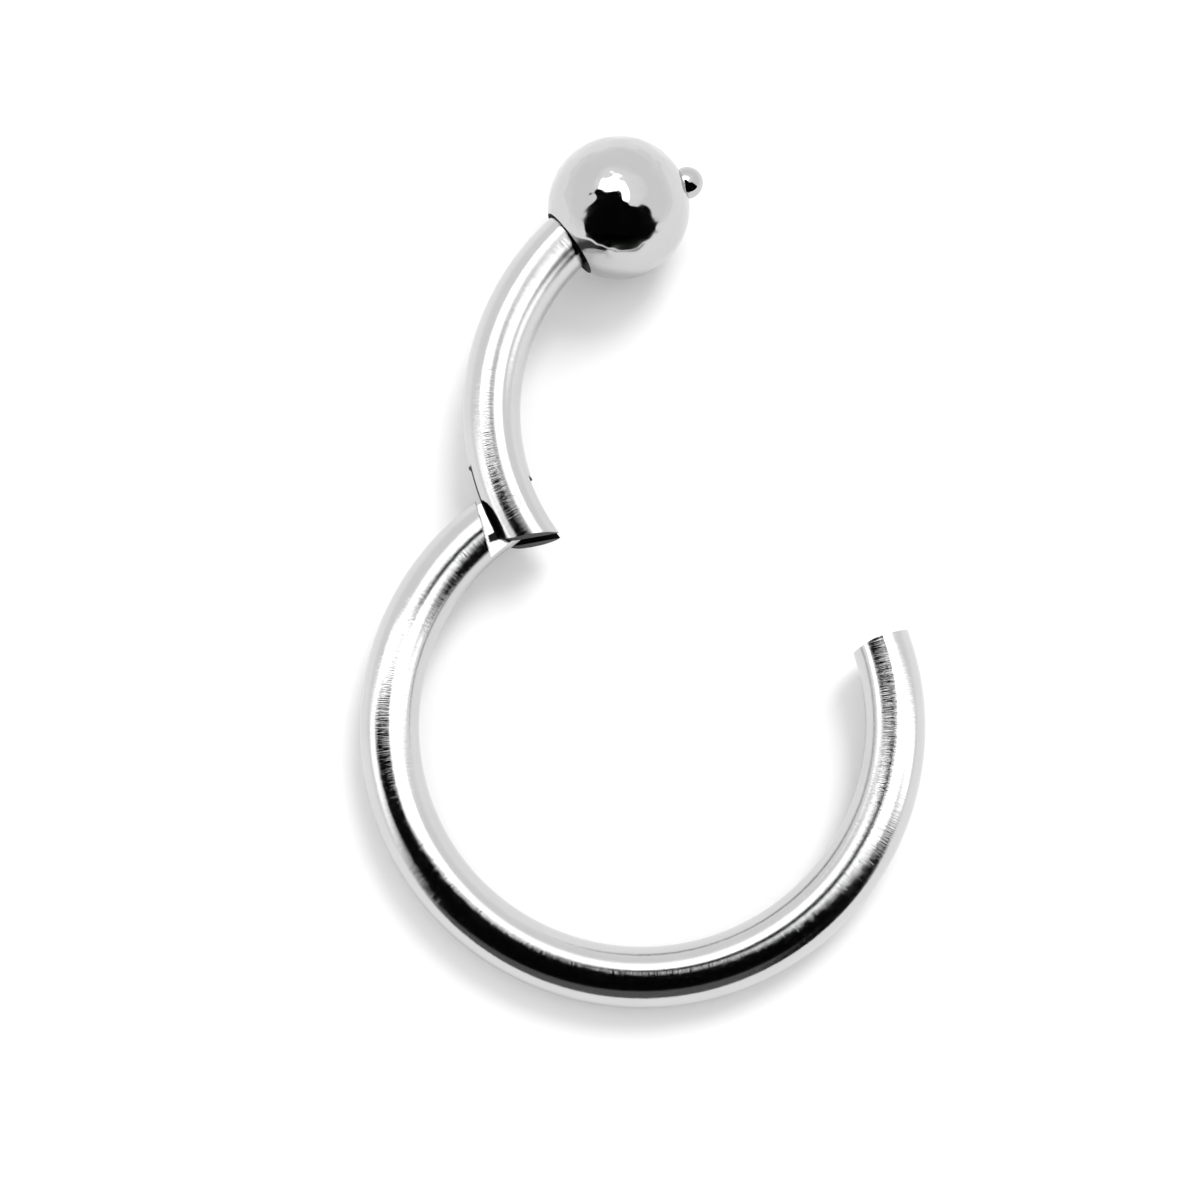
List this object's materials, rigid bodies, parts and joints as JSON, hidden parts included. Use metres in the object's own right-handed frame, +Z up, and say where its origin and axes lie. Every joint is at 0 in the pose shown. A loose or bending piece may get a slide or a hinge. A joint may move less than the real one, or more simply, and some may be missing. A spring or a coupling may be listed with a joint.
{
  "type": "hinged segment ring",
  "caption": "Round wire jewellery ring lying open: a hinged segment carries a captive ball whose small bead clicks into the ring's free end.",
  "frame": {"origin": "on the surface that the ring lies on, under the middle of its outline seen from above", "axes": "+Z up from the surface; +Y from the ring's far side towards the open gate's ball; +X to the right, towards the ring's free end"},
  "size_m": [0.0152, 0.0242, 0.004],
  "materials": {
    "polished_wire": "polished round wire with faint streaks across it",
    "polished_ball": "mirror-polished, with light haze",
    "catch_steel": "bright, left slightly uneven by welding",
    "pin_steel": "filed flush and polished with the wire"
  },
  "bodies": {
    "ring": {"ring_body": "polished_wire"},
    "gate": {"hinged_segment": "polished_wire", "ball": "polished_ball", "catch_pin": "catch_steel", "hinge_pin": "pin_steel"}
  },
  "joints": [
    {"name": "segment_hinge", "type": "hinge", "parent": "ring", "child": "gate", "pos_m": [-0.00349, 0.00134, 0.00147], "axis": [-0.0154, -0.0559, 0.9983], "range_deg": [-84.3, 0]}
  ]
}
